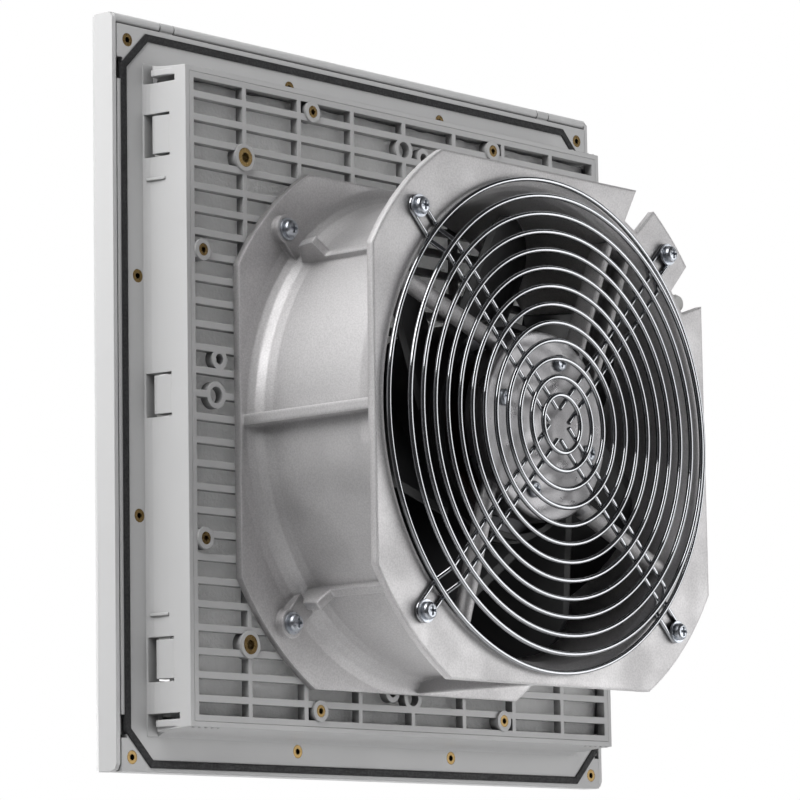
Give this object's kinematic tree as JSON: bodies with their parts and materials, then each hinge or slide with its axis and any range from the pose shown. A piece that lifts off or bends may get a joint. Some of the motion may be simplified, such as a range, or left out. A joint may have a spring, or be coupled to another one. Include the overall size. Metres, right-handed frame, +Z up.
{
  "type": "cabinet filter fan",
  "caption": "Cabinet filter fan with a hinged louvred cover, a clip-in filter frame with a rear grille, and a square axial fan behind a wire finger guard.",
  "frame": {"origin": "centre of the panel cut-out, on the rear face of the flange that lies against the panel", "axes": "+Z up, +Y into the cabinet along the fan axis, so the louvres face -Y; +X is to the left as seen from inside the cabinet"},
  "size_m": [0.323, 0.1261, 0.323],
  "materials": {
    "frame_plastic": "fine matte, injection moulded",
    "grille_plastic": "fine matte, injection moulded",
    "cover_plastic": "fine matte, injection moulded",
    "gasket_foam": "closed-cell foam",
    "filter_fibre": "loose fibre mat",
    "brass_insert": "turned",
    "cast_aluminium": "die-cast, fine blasted",
    "zinc_steel": "bright zinc plated",
    "bushing_plastic": "satin",
    "chrome_wire": "polished wire",
    "motor_steel": "laminated sheet",
    "copper_wire": "lacquered wire",
    "black_paint": "black paint on sheet steel"
  },
  "bodies": {
    "frame": {"base_frame": "frame_plastic", "rear_grille": "grille_plastic", "gasket": "gasket_foam", "filter_mat": "filter_fibre", "flange_inserts": "brass_insert", "small_inserts": "brass_insert", "large_inserts": "brass_insert", "fan_inserts": "brass_insert", "fan_housing": "cast_aluminium", "fan_screws": "zinc_steel", "fan_washers": "zinc_steel", "lead_bushing": "bushing_plastic", "guard_rings": "chrome_wire", "guard_spokes": "chrome_wire", "guard_screws": "zinc_steel", "guard_washers": "zinc_steel", "guard_nuts": "zinc_steel", "motor_flange": "cast_aluminium", "motor_screws": "zinc_steel", "stator_core": "motor_steel", "stator_windings": "copper_wire", "inner_bearing": "zinc_steel", "outer_bearing": "zinc_steel", "hinge_pins": "zinc_steel"},
    "cover": {"front_cover": "cover_plastic", "louvre_panel": "cover_plastic"},
    "rotor": {"shaft": "zinc_steel", "shaft_clip": "motor_steel", "rotor_cup": "black_paint", "rotor_cage": "motor_steel", "impeller": "black_paint"}
  },
  "joints": [
    {"name": "cover_hinge", "type": "hinge", "parent": "frame", "child": "cover", "pos_m": [0, -0.0026, 0.162], "axis": [-1, 0, 0], "range_deg": [0, 90]},
    {"name": "rotor_spin", "type": "hinge", "parent": "frame", "child": "rotor", "pos_m": [0, 0.059, -0.01], "axis": [0, 1, 0], "continuous": true}
  ]
}
